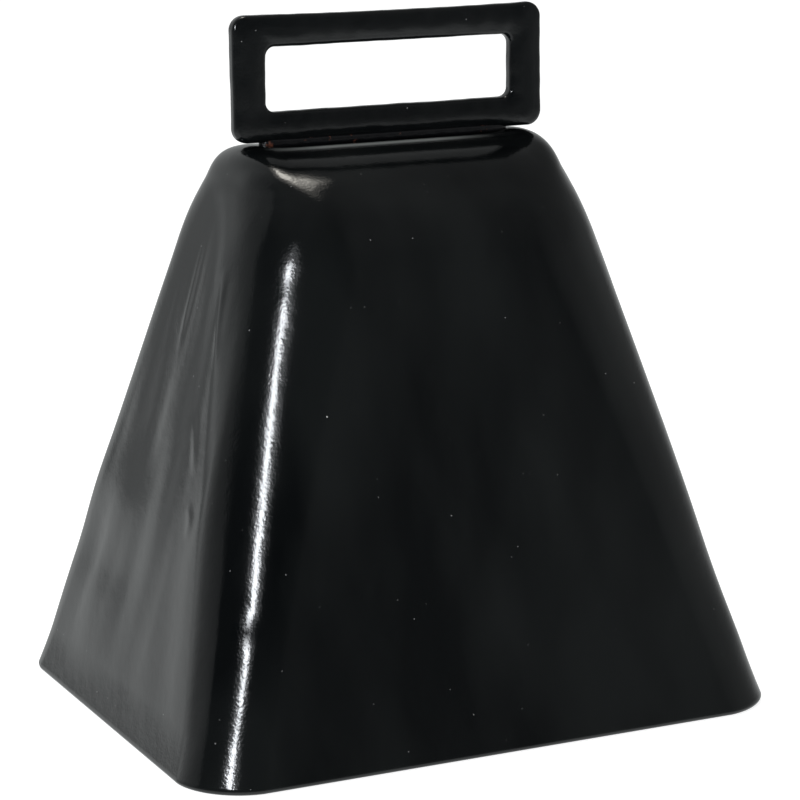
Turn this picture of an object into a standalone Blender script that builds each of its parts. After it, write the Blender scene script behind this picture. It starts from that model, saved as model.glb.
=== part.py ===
"""Cowbell: a drawn sheet-steel bell with a brazed strap loop and a free-swinging ball clapper.

Frame: the origin is the centre of the mouth, in the plane of the rim. +Z runs up through the crown, X along the
broad side, and the broad front face looks towards -Y. Units are metres and degrees.
"""

import math

import bmesh
import bpy
from mathutils import Vector

# --- Driving dimensions -------------------------------------------------------------------------------------

GAP = 0.00025  # left between two pieces that touch

# Shell: every level section is a rectangle with elliptical corners
BODY_HEIGHT = 0.0926  # rim to the top of the crown
MOUTH_HALF_WIDTH = 0.0514  # side walls at the rim, before the lip
MOUTH_HALF_DEPTH = 0.0428  # front and back walls at the rim, before the lip
SIDE_LEAN = 13.6  # side walls from the vertical
FACE_LEAN = 13.7  # front and back walls from the vertical
SHOULDER_RADIUS = 0.0095  # bend from each side wall to the crown
CROWN_RADIUS = 0.0216  # bend from the front and back walls to the crown
EDGE_RADIUS_RIM = 0.0104  # rounding of the four upright edges, at the rim
EDGE_RADIUS_MID = 0.0137  # the same, half way up
EDGE_RADIUS_CROWN = 0.0199  # the same, at the height of the crown
CROWN_CORNER = 0.0060  # half-length of each rounded end of the flat crown
EDGE_BLEND = 0.0015  # eases the change from the crown's rounding to the upright edges
WALL = 0.0015
LIP_FLARE = 0.0006  # how far the lip turns out at the rim
LIP_HEIGHT = 0.007
TRIM = 0.002  # extra wall below the rim, cut off level

# Strap loop: a stamped plate that stands on the crown. Heights are above the crown.
LOOP_WIDTH = 0.0552
LOOP_BOTTOM = 0.0009
LOOP_TOP = 0.0212
LOOP_THICKNESS = 0.0030
LOOP_OFFSET = 0.0008  # the loop sits this far towards +X of the crown's middle
LOOP_CORNER = 0.0024
SLOT_WIDTH = 0.0438
SLOT_BOTTOM = 0.0056
SLOT_TOP = 0.0160
SLOT_CORNER = 0.0016
LOOP_EDGE = 0.0007  # rounding of the plate's edges

# Braze seam between the loop and the crown
SEAM_LENGTH = 0.0420
SEAM_WIDTH = 0.0028

# Clapper staple: a U of wire with its legs through the crown
STAPLE_WIRE = 0.0012  # wire radius
STAPLE_HALF_SPAN = 0.0065  # legs from the middle, and the radius of the bow
STAPLE_BOW_DROP = 0.0152  # crown top to the bottom of the bow's centreline
LEG_HOLE_CLEARANCE = 0.00025
FILLET_REACH = 0.0018  # braze fillet round each leg
FILLET_DEPTH = 0.0012

# Link: an oblong ring between staple and clapper
LINK_WIRE = 0.0014
LINK_STRETCH = 0.0080  # between the centres of its two bows
LINK_PLAY = 0.0003  # clearance of each bow round the wire that it hangs on or carries

# Clapper: a wire with a turned eye, and a drilled steel ball held by a collar and a peened end
ROD_WIRE = 0.0016
EYE_NECK_RADIUS = 0.0030
EYE_END = -35.0  # where the turned eye stops, from +X
BALL_RADIUS = 0.0100
BALL_HEIGHT = 0.0200  # ball's centre above the rim
BORE_CLEARANCE = 0.0003
PEENED_RADIUS = 0.0027
COLLAR_RADIUS = 0.0024

# Facets
WALL_STEPS = 5
CROWN_STEPS = 10
EDGE_STEPS = 6
CORNER_STEPS = 5
BOW_STEPS = 12
TURN_STEPS = 24
PROFILE_STEPS = 10

# --- Places worked out from them ----------------------------------------------------------------------------

CROWN_UNDERSIDE = BODY_HEIGHT - WALL
STAPLE_BOW_Z = BODY_HEIGHT - STAPLE_BOW_DROP  # the link swings about this height
LINK_BOW_RADIUS = STAPLE_WIRE + LINK_PLAY + LINK_WIRE
CLAPPER_PIVOT_Z = STAPLE_BOW_Z - LINK_STRETCH - LINK_BOW_RADIUS
EYE_RADIUS = LINK_WIRE + LINK_PLAY + ROD_WIRE


# --- Helpers ------------------------------------------------------------------------------------------------


def clear_scene():
    for obj in list(bpy.data.objects):
        bpy.data.objects.remove(obj)


def new_collection(name):
    collection = bpy.data.collections.new(name)
    bpy.context.scene.collection.children.link(collection)
    return collection


def place(obj, collection, material=None):
    collection.objects.link(obj)
    if material:
        obj.data.materials.append(material)
    return obj


def metal(name, colour, roughness, metallic):
    """A Principled BSDF material."""
    material = bpy.data.materials.new(name)
    material.use_nodes = True
    shader = material.node_tree.nodes["Principled BSDF"]
    shader.inputs["Base Color"].default_value = (*colour, 1)
    shader.inputs["Roughness"].default_value = roughness
    shader.inputs["Metallic"].default_value = metallic
    return material


def arc(centre, radius, start, end, steps):
    """Points on an arc from start to end, in degrees from the first axis, both ends included."""
    angles = [math.radians(start + (end - start) * i / steps) for i in range(steps + 1)]
    return [
        (centre[0] + radius * math.cos(a), centre[1] + radius * math.sin(a))
        for a in angles
    ]


def rounded_rectangle(centre, width, height, radius):
    """A closed outline with round corners, anticlockwise."""
    points = []
    for quarter, (side_x, side_y) in enumerate([(1, 1), (-1, 1), (-1, -1), (1, -1)]):
        corner = (
            centre[0] + side_x * (width / 2 - radius),
            centre[1] + side_y * (height / 2 - radius),
        )
        points += arc(
            corner, radius, 90 * quarter, 90 * (quarter + 1), CORNER_STEPS
        )
    return points


def add_spline(curve, points, cyclic, thickness=None):
    """A POLY spline through the points. Thickness gives each point's share of the wire's radius."""
    spline = curve.splines.new("POLY")
    spline.points.add(len(points) - 1)
    for i, point in enumerate(points):
        spline.points[i].co = (*point, 1)
        spline.points[i].radius = thickness[i] if thickness else 1
    spline.use_cyclic_u = cyclic


def wire(name, points, radius, cyclic=False, thickness=None):
    """A round wire along the points."""
    curve = bpy.data.curves.new(name, "CURVE")
    curve.dimensions = "3D"
    curve.bevel_depth = radius
    curve.bevel_resolution = 2
    curve.use_fill_caps = not cyclic
    add_spline(curve, points, cyclic, thickness)
    return bpy.data.objects.new(name, curve)


def plate(name, outlines, thickness):
    """A flat plate standing in the XZ plane. Outlines are (x, z) points, and every one after the first is a hole."""
    curve = bpy.data.curves.new(name, "CURVE")
    curve.dimensions = "2D"
    curve.fill_mode = "BOTH"
    curve.extrude = thickness / 2
    for outline in outlines:
        add_spline(curve, [(x, z, 0) for x, z in outline], cyclic=True)
    obj = bpy.data.objects.new(name, curve)
    obj.rotation_euler.x = math.radians(90)
    return obj


def turned(name, profile, place_at):
    """A closed (radius, height) profile turned about a vertical axis through place_at."""
    mesh = bpy.data.meshes.new(name)
    vertices = [(r, 0, z) for r, z in profile]
    edges = [(i, (i + 1) % len(profile)) for i in range(len(profile))]
    mesh.from_pydata(vertices, edges, [])
    obj = bpy.data.objects.new(name, mesh)
    obj.location = place_at
    screw = obj.modifiers.new("Turn", "SCREW")
    screw.axis = "Z"
    screw.steps = TURN_STEPS
    screw.render_steps = TURN_STEPS
    screw.use_merge_vertices = True
    screw.merge_threshold = 0.00001
    return obj


def round_edges(obj, width, segments=3):
    """Weld first, because a curve's caps are loose."""
    weld = obj.modifiers.new("Weld", "WELD")
    weld.merge_threshold = 0.00001
    bevel = obj.modifiers.new("Bevel", "BEVEL")
    bevel.width = width
    bevel.segments = segments
    bevel.limit_method = "ANGLE"
    bevel.angle_limit = math.radians(40)


def cutter(obj, cutters):
    for collection in obj.users_collection:
        collection.objects.unlink(obj)
    cutters.objects.link(obj)
    obj.hide_render = True
    obj.display_type = "WIRE"
    return obj


def cut(obj, tool):
    boolean = obj.modifiers.new("Cut " + tool.name, "BOOLEAN")
    boolean.operation = "DIFFERENCE"
    boolean.object = tool


# --- Shell --------------------------------------------------------------------------------------------------


def wall_and_bend(z, at_rim, lean, radius):
    """How far a wall stands from the middle at a height. The wall leans in from the rim, then bends over to the
    flat of the crown. Also gives how far out the flat reaches."""
    bend_start = BODY_HEIGHT - radius * (1 - math.sin(math.radians(lean)))
    wall_top = at_rim - bend_start * math.tan(math.radians(lean))
    flat_end = wall_top - radius * math.cos(math.radians(lean))
    if z <= bend_start:
        return at_rim - z * math.tan(math.radians(lean)), flat_end
    above_centre = min(z - (BODY_HEIGHT - radius), radius)
    return flat_end + math.sqrt(radius**2 - above_centre**2), flat_end


def edge_radius(z):
    """Rounding of the upright edges: a parabola through its three given values."""
    u = min(max(z / BODY_HEIGHT, 0), 1)
    return (
        EDGE_RADIUS_RIM * (1 - u) * (1 - 2 * u)
        + EDGE_RADIUS_MID * 4 * u * (1 - u)
        + EDGE_RADIUS_CROWN * u * (2 * u - 1)
    )


def smooth_minimum(a, b, blend):
    share = min(max(0.5 + 0.5 * (b - a) / blend, 0), 1)
    return b * (1 - share) + a * share - blend * share * (1 - share)


def section(z):
    """The shell's outline at one height, anticlockwise from the right end of the front face. Near the crown the
    corners grow with the bends. Lower down they are the upright edges."""
    half_width, flat_x = wall_and_bend(
        z, MOUTH_HALF_WIDTH, SIDE_LEAN, SHOULDER_RADIUS
    )
    half_depth, _ = wall_and_bend(z, MOUTH_HALF_DEPTH, FACE_LEAN, CROWN_RADIUS)
    corner_x = smooth_minimum(
        half_width - flat_x + CROWN_CORNER, edge_radius(z), EDGE_BLEND
    )
    corner_y = smooth_minimum(half_depth, edge_radius(z), EDGE_BLEND)
    flare = LIP_FLARE * min(max(1 - z / LIP_HEIGHT, 0), 1) ** 1.5
    quarter = []
    for step in range(EDGE_STEPS + 1):
        turn = math.radians(90) * step / EDGE_STEPS
        x = half_width - corner_x * (1 - math.sin(turn)) + flare
        y = half_depth - corner_y * (1 - math.cos(turn)) + flare
        quarter.append((x, y))
    front_right = [(x, -y) for x, y in quarter]
    back_right = [(x, y) for x, y in reversed(quarter)]
    right = front_right + back_right
    left = [(-x, -y) for x, y in right]
    return [Vector((x, y, z)) for x, y in right + left]


def section_heights():
    """From below the rim, up the lip and the wall, and over the bends at equal turns."""
    bend_turn = 90 - FACE_LEAN
    bend_foot = BODY_HEIGHT - CROWN_RADIUS * (1 - math.cos(math.radians(bend_turn)))
    heights = [-TRIM, 0, LIP_HEIGHT * 0.25, LIP_HEIGHT * 0.55]
    heights += [
        LIP_HEIGHT + (bend_foot - LIP_HEIGHT) * i / WALL_STEPS
        for i in range(WALL_STEPS)
    ]
    for i in range(CROWN_STEPS, -1, -1):
        turn = math.radians(bend_turn * i / CROWN_STEPS)
        heights.append(BODY_HEIGHT - CROWN_RADIUS * (1 - math.cos(turn)))
    return heights


def shell_surface():
    """The bell's outer surface, open at the mouth."""
    surface = bmesh.new()
    rings = [[surface.verts.new(p) for p in section(z)] for z in section_heights()]
    count = len(rings[0])
    for ring, above in zip(rings, rings[1:]):
        for i in range(count):
            j = (i + 1) % count
            surface.faces.new((ring[i], ring[j], above[j], above[i]))
    surface.faces.new(rings[-1])
    # Near the crown the corners meet at the sides' middle.
    bmesh.ops.remove_doubles(surface, verts=surface.verts, dist=0.00001)
    mesh = bpy.data.meshes.new("bell_shell")
    surface.to_mesh(mesh)
    surface.free()
    return mesh


def make_shell(parts, cutters, enamel):
    shell = bpy.data.objects.new("bell_shell", shell_surface())
    place(shell, parts, enamel)
    solidify = shell.modifiers.new("Wall", "SOLIDIFY")
    solidify.thickness = WALL
    solidify.offset = -1
    solidify.use_even_offset = True

    bpy.ops.mesh.primitive_cube_add(size=1)
    floor = bpy.context.object
    floor.name = "cut_below_rim"
    floor.scale = (3 * MOUTH_HALF_WIDTH, 3 * MOUTH_HALF_DEPTH, 4 * TRIM)
    floor.location.z = -2 * TRIM
    cut(shell, cutter(floor, cutters))

    for side, name in ((-1, "cut_leg_hole_left"), (1, "cut_leg_hole_right")):
        bpy.ops.mesh.primitive_cylinder_add(
            vertices=20,
            radius=STAPLE_WIRE + LEG_HOLE_CLEARANCE,
            depth=6 * WALL,
            location=(side * STAPLE_HALF_SPAN, 0, BODY_HEIGHT),
        )
        hole = bpy.context.object
        hole.name = name
        cut(shell, cutter(hole, cutters))
    return shell


# --- Loop and seam ------------------------------------------------------------------------------------------


def make_strap_loop(parts, enamel):
    outer = rounded_rectangle(
        (0, (LOOP_BOTTOM + LOOP_TOP) / 2),
        LOOP_WIDTH,
        LOOP_TOP - LOOP_BOTTOM,
        LOOP_CORNER,
    )
    slot = rounded_rectangle(
        (0, (SLOT_BOTTOM + SLOT_TOP) / 2),
        SLOT_WIDTH,
        SLOT_TOP - SLOT_BOTTOM,
        SLOT_CORNER,
    )
    loop = plate("strap_loop", [outer, slot], LOOP_THICKNESS)
    loop.location = (LOOP_OFFSET, 0, BODY_HEIGHT)
    round_edges(loop, LOOP_EDGE, segments=2)
    return place(loop, parts, enamel)


def make_braze_seam(parts, braze):
    """The thin bed of braze that the loop stands on."""
    outline = rounded_rectangle((0, 0), SEAM_LENGTH, SEAM_WIDTH, SEAM_WIDTH * 0.45)
    curve = bpy.data.curves.new("braze_seam", "CURVE")
    curve.dimensions = "2D"
    curve.fill_mode = "BOTH"
    curve.extrude = (LOOP_BOTTOM - 2 * GAP) / 2
    add_spline(curve, [(x, y, 0) for x, y in outline], cyclic=True)
    seam = bpy.data.objects.new("braze_seam", curve)
    seam.location.z = BODY_HEIGHT + LOOP_BOTTOM / 2
    return place(seam, parts, braze)


# --- Staple -------------------------------------------------------------------------------------------------


def make_staple(parts, coat):
    bow_centre = (0, STAPLE_BOW_Z + STAPLE_HALF_SPAN)
    bow = arc(bow_centre, STAPLE_HALF_SPAN, 180, 360, BOW_STEPS)
    leg_top = BODY_HEIGHT - GAP
    outline = [(-STAPLE_HALF_SPAN, leg_top), *bow, (STAPLE_HALF_SPAN, leg_top)]
    staple = wire("clapper_staple", [(x, 0, z) for x, z in outline], STAPLE_WIRE)
    return place(staple, parts, coat)


def make_leg_fillets(parts, braze):
    """A ring of braze where each leg enters the crown."""
    inner = STAPLE_WIRE + GAP
    top = CROWN_UNDERSIDE - GAP
    outer = inner + FILLET_REACH
    hollow = arc((outer, -FILLET_DEPTH), FILLET_REACH, 90, 180, 3)
    depth_scale = FILLET_DEPTH / FILLET_REACH
    profile = [(outer, 0)]
    for r, z in hollow[1:]:
        profile.append((r, (z + FILLET_DEPTH - FILLET_REACH) * depth_scale - GAP))
    profile.append((inner, 0))
    for side, name in ((-1, "leg_fillet_left"), (1, "leg_fillet_right")):
        ring = turned(name, profile, (side * STAPLE_HALF_SPAN, 0, top))
        place(ring, parts, braze)


# --- Link and clapper ---------------------------------------------------------------------------------------


def make_link(parts, coat):
    """An oblong ring in the YZ plane. Its origin is on the axis that it swings about."""
    upper = arc((0, 0), LINK_BOW_RADIUS, 0, 180, BOW_STEPS)
    lower = arc((0, -LINK_STRETCH), LINK_BOW_RADIUS, 180, 360, BOW_STEPS)
    points = [(0, y, z) for y, z in upper + lower]
    link = wire("clapper_link", points, LINK_WIRE, cyclic=True)
    link.location.z = STAPLE_BOW_Z
    return place(link, parts, coat)


def rod_path():
    """Centreline of the clapper's wire in the XZ plane, from the eye's open end round the eye and down, measured
    from the middle of the eye. The neck bends the other way, on an arc that touches the eye and the shank."""
    neck_drop = math.sqrt((EYE_RADIUS + EYE_NECK_RADIUS) ** 2 - EYE_NECK_RADIUS**2)
    neck_turn = math.degrees(math.atan2(neck_drop, EYE_NECK_RADIUS))
    eye = arc((0, 0), EYE_RADIUS, EYE_END, 180 + neck_turn, 20)
    neck = arc((-EYE_NECK_RADIUS, -neck_drop), EYE_NECK_RADIUS, neck_turn, 0, 5)
    return eye + neck[1:]


def make_rod(parts, coat):
    """Its origin is on the axis that the clapper swings about."""
    bent = rod_path()
    ball_z = BALL_HEIGHT - CLAPPER_PIVOT_Z
    bore = ROD_WIRE + BORE_CLEARANCE
    seat = math.sqrt(BALL_RADIUS**2 - bore**2)  # half the length of the ball's bore
    collar = COLLAR_RADIUS / ROD_WIRE
    peened = PEENED_RADIUS / ROD_WIRE
    steps = [
        (ball_z + seat + 0.0030, 1),
        (ball_z + seat + 0.0022, collar),
        (ball_z + seat + 0.0012, collar),
        (ball_z + seat + 0.0006, 1),
        (ball_z - seat - 0.0004, 1),
        (ball_z - seat - 0.0009, peened),
        (ball_z - seat - 0.0018, peened),
        (ball_z - seat - 0.0026, peened * 0.6),
    ]
    points = [(x, 0, z) for x, z in bent] + [(0, 0, z) for z, _ in steps]
    thickness = [1] * len(bent) + [share for _, share in steps]
    rod = wire("clapper_rod", points, ROD_WIRE, thickness=thickness)
    rod.location.z = CLAPPER_PIVOT_Z
    return place(rod, parts, coat)


def make_ball(parts, coat):
    """A ball with a bore down its axis."""
    bore = ROD_WIRE + BORE_CLEARANCE
    end = math.degrees(math.acos(bore / BALL_RADIUS))
    profile = arc((0, 0), BALL_RADIUS, end, -end, PROFILE_STEPS)
    return place(turned("clapper_ball", profile, (0, 0, BALL_HEIGHT)), parts, coat)


def main():
    clear_scene()
    parts = new_collection("cowbell")
    cutters = new_collection("cutters")
    enamel = metal("black_powder_coat", (0.006, 0.007, 0.008), 0.12, 0.0)
    coat = metal("thin_black_coat", (0.012, 0.012, 0.012), 0.35, 0.0)
    braze = metal("copper_braze", (0.20, 0.07, 0.04), 0.45, 1.0)
    steel = metal("worn_steel", (0.05, 0.05, 0.05), 0.4, 1.0)

    make_shell(parts, cutters, enamel)
    make_strap_loop(parts, enamel)
    make_braze_seam(parts, braze)
    make_staple(parts, coat)
    make_leg_fillets(parts, braze)
    make_link(parts, coat)
    make_rod(parts, coat)
    make_ball(parts, steel)


main()
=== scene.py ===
"""Looks of the cowbell: finely modelled pieces, materials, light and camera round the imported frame.

Metres and degrees, in the frame of the CAD model: +Z runs up through the crown, X along the broad side,
and the broad front face looks towards -Y.
"""

import math

import bmesh
import bpy
import numpy as np
from mathutils import Matrix, Vector, noise

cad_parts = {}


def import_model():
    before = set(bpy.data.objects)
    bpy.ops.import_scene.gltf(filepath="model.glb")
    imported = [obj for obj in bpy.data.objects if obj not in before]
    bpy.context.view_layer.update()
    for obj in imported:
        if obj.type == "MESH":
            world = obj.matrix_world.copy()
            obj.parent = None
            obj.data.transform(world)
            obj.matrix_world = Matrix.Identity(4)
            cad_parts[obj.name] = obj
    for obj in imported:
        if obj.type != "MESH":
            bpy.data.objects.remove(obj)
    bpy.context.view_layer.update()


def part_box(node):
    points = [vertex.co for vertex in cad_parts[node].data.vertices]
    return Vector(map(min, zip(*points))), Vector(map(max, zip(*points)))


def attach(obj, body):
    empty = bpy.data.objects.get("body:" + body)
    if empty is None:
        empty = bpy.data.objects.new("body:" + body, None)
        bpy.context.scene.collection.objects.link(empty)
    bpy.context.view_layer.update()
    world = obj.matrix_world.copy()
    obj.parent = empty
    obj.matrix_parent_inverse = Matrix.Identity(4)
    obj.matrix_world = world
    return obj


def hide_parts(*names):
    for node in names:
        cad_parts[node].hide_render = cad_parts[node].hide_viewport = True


# --- Shapes, as in the CAD model or close to it ----------------------------------------------------

SIDE_LEAN = 13.6  # side walls from the vertical
FACE_LEAN = 13.7  # front and back walls from the vertical
SHOULDER_RADIUS = 0.0095
CROWN_RADIUS = 0.0216
EDGE_RADIUS_RIM = 0.0104
EDGE_RADIUS_MID = 0.0137
EDGE_RADIUS_CROWN = 0.0199
CROWN_CORNER = 0.0060
EDGE_BLEND = 0.0015
WALL = 0.0015
LIP_FLARE = 0.0006
LIP_HEIGHT = 0.007
FLARE_LOST_AT_EDGES = 0.85  # share of the lip's flare that the upright edges lack
LIP_ROUND_OUTSIDE = 0.0008
LIP_ROUND_INSIDE = 0.0005

STEP_START = 0.0034  # from the middle of the crown to the step in front of the loop
STEP_RUN = 0.0009
STEP_DROP = 0.00042
STEP_END = 0.022  # where the crown is back at its general form
STEP_HALF_LENGTH = 0.0245
STEP_FADE = 0.004  # length over which the step fades at each end
# The next two place a painted highlight: a pale line along the crown's step.
STEP_HIGHLIGHT_LOWEST = 0.0916  # lower down is the sheet's inner side, which has no pale line
STEP_HIGHLIGHT_SHIFT = 0.0025  # how far towards -X the pale line is centred
DULL_SPOT = (-0.0405, -0.0350, 0.0233)  # where the coat has lost its gloss on the near edge
DULL_SPOT_REACH = 0.0030
SHOULDER_PLACE = 0.0266  # from the middle of the crown to where the shoulders stand proud
SHOULDER_WIDTH = 0.0048
SHOULDER_RISE = 0.00100

# The sheet's ripples: how far each kind stands in or out at most.
SIDE_WRINKLE = 0.00040
SIDE_FINE_WRINKLE = 0.00024
FACE_WAVE = 0.00020
FACE_STREAK = 0.00006
WALL_TAPER = 0.24  # how much the walls draw in, as a share of the height

LOOP_BARS = (0.0057, 0.0049, 0.0052)  # width of the loop's end bars, foot and top
LOOP_CORNER = 0.0024
SLOT_CORNER = 0.0016
LOOP_EDGE = 0.0009  # rounding of the loop's edges under the coat
LOOP_SEATED = 0.0002  # how far the coat at the loop's foot reaches below the bare plate
LOOP_HOLLOW = 0.0003  # dip of the loop's top edge in the middle of its length
LOOP_PILLOW = 0.00022  # how far the loop's faces swell between their edges

SEAM_RUN_OUT = 0.0012  # thin braze past the ends of the seam
SEAM_PROUD = 0.00045  # added to the loop's half depth for the seam's, before its lumps
SEAM_LUMP = 0.00010
SEAM_GRAIN = 0.00008

EYE_END = -35.0  # where the turned eye of the clapper's wire stops short, in degrees
EYE_NECK_RADIUS = 0.0030
ROD_WIRE = 0.0016  # radius
LINK_PLAY = 0.0003  # clearance between the link's wire and the eye round it
BALL_CHAMFER = 1.5  # taken off the ball at each end of its bore, in degrees

# The clapper's wire above and below the ball, as (place, share of the wire's radius) pairs. A place on the
# collar is a height above the ball. A place on the peened end is a share of the way down to its tip.
COLLAR_TOP = 0.0034
COLLAR = [
    (COLLAR_TOP, 1.0),
    (0.0029, 1.18),
    (0.0026, 1.42),
    (0.0022, 1.52),
    (0.0012, 1.54),
    (0.0008, 1.42),
    (0.0004, 1.1),
]
PEENED_END = [
    (0.10, 1.2),
    (0.18, 1.5),
    (0.30, 1.68),
    (0.62, 1.70),
    (0.82, 1.5),
    (0.93, 1.2),
    (0.98, 0.8),
    (1.0, 0.35),
]

# --- Fineness of the meshes ------------------------------------------------------------------------

QUARTER_POINTS = 180  # points on a quarter of the bell's outline
INNER_ROW_STEP = 3  # the inner face is plainer, and takes one ring of points in three
TURN_WEIGHT = 0.35  # how strongly points gather where the outline turns
EDGE_STEPS = 200  # points round an upright edge before they are spread evenly
CROWN_START = 8  # the first degrees of the crown's bend, where the step needs closer rings
CROWN_START_ROWS = 26
BEND_ROWS = 48
WALL_ROWS = 120
LIP_ROWS = 18
TUBE_SIDES = 28
TUBE_END = 0.35  # height of a wire's rounded end, as a share of its radius
LATHE_STEPS = 96
LOOP_STRAIGHTS = (90, 34)  # steps along the loop's long and short sides
LOOP_CORNER_STEPS = 14
SEAM_STATIONS = 150
SEAM_SIDES = 20
LEG_STEPS = 16
STAPLE_BOW_STEPS = 40
LINK_SIDE_STEPS = 10
LINK_BOW_STEPS = 30
EYE_STEPS = 60
NECK_STEPS = 12
SHANK_STEPS = 24
BALL_STEPS = 90


# --- Mesh helpers ----------------------------------------------------------------------------------


def mesh_object(name, points, faces):
    mesh = bpy.data.meshes.new(name)
    mesh.from_pydata([tuple(p) for p in points], [], faces)
    mesh.validate()
    mesh.shade_smooth()
    obj = bpy.data.objects.new(name, mesh)
    bpy.context.scene.collection.objects.link(obj)
    return obj


def grid_faces(rows, columns, wrap_columns=True, wrap_rows=False):
    """Quads of a grid of points that are numbered row by row."""
    faces = []
    for i in range(rows if wrap_rows else rows - 1):
        for j in range(columns if wrap_columns else columns - 1):
            i2, j2 = (i + 1) % rows, (j + 1) % columns
            faces.append((i * columns + j, i * columns + j2, i2 * columns + j2, i2 * columns + j))
    return faces


def arc(centre, radius, start, end, steps):
    """Points on an arc, in degrees from the first axis, both ends included."""
    turns = np.radians(np.linspace(start, end, steps + 1))
    return [(centre[0] + radius * math.cos(t), centre[1] + radius * math.sin(t)) for t in turns]


def roughen(obj, amount, scale, seed):
    """Moves the points of a piece along their normals by smooth noise. Scale is waves per metre, about."""
    mesh = obj.data
    offset = Vector((seed * 7.3, seed * 3.1, seed * 5.7))
    moved = []
    for vertex in mesh.vertices:
        moved.append(vertex.co + vertex.normal * amount * noise.noise(vertex.co * scale + offset))
    for vertex, point in zip(mesh.vertices, moved):
        vertex.co = point
    mesh.update()


def tube(name, path, radii, closed=False):
    """A round wire along a path that lies in one plane. An open wire has round ends."""
    path = [Vector(p) for p in path]
    count = len(path)
    if isinstance(radii, float):
        radii = [radii] * count
    tangents = []
    for i in range(count):
        before = path[(i - 1) % count] if closed or i > 0 else path[i]
        after = path[(i + 1) % count] if closed or i < count - 1 else path[i]
        tangents.append((after - before).normalized())
    side = next(
        a.cross(b).normalized() for a, b in zip(tangents, tangents[1:]) if a.cross(b).length > 1e-4
    )
    rings = []
    for point, tangent, radius in zip(path, tangents, radii):
        across = side.cross(tangent).normalized()
        for k in range(TUBE_SIDES):
            turn = 2 * math.pi * k / TUBE_SIDES
            rings.append(point + (side * math.cos(turn) + across * math.sin(turn)) * radius)
    faces = grid_faces(count, TUBE_SIDES, wrap_rows=closed)
    if not closed:
        last = (count - 1) * TUBE_SIDES
        for first, end, onwards in ((0, path[0], -tangents[0]), (last, path[-1], tangents[-1])):
            rings.append(end + onwards * radii[0] * TUBE_END)
            for k in range(TUBE_SIDES):
                a, b = first + k, first + (k + 1) % TUBE_SIDES
                faces.append((a, b, len(rings) - 1) if first else (b, a, len(rings) - 1))
    obj = mesh_object(name, rings, faces)
    fix_normals(obj)
    return obj


def lathe(name, profile, centre):
    """A closed (radius, height) profile turned about a vertical axis."""
    points = []
    for k in range(LATHE_STEPS):
        turn = 2 * math.pi * k / LATHE_STEPS
        for radius, height in profile:
            x, y = radius * math.cos(turn), radius * math.sin(turn)
            points.append((centre[0] + x, centre[1] + y, centre[2] + height))
    obj = mesh_object(name, points, grid_faces(LATHE_STEPS, len(profile), wrap_rows=True))
    fix_normals(obj)
    return obj


def fix_normals(obj):
    """Turns the faces outwards."""
    work = bmesh.new()
    work.from_mesh(obj.data)
    bmesh.ops.recalc_face_normals(work, faces=work.faces)
    if work.calc_volume(signed=True) < 0:
        bmesh.ops.reverse_faces(work, faces=work.faces)
    work.to_mesh(obj.data)
    work.free()


# --- Bell shell ------------------------------------------------------------------------------------


def smooth_step(value):
    """0 up to a value of 0, 1 from a value of 1, and an even S between them."""
    value = min(max(value, 0.0), 1.0)
    return value * value * (3 - 2 * value)


def smooth_minimum(a, b, blend):
    """The smaller of two lengths, eased from one to the other where they differ by less than the blend."""
    share = min(max(0.5 + 0.5 * (b - a) / blend, 0), 1)
    return b * (1 - share) + a * share - blend * share * (1 - share)


def edge_radius(u):
    """Rounding of the upright edges: a parabola through its values at the rim, halfway and at the crown.

    u runs from 0 at the rim to 1 at the crown.
    """
    return (
        EDGE_RADIUS_RIM * (1 - u) * (1 - 2 * u)
        + EDGE_RADIUS_MID * 4 * u * (1 - u)
        + EDGE_RADIUS_CROWN * u * (2 * u - 1)
    )


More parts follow.
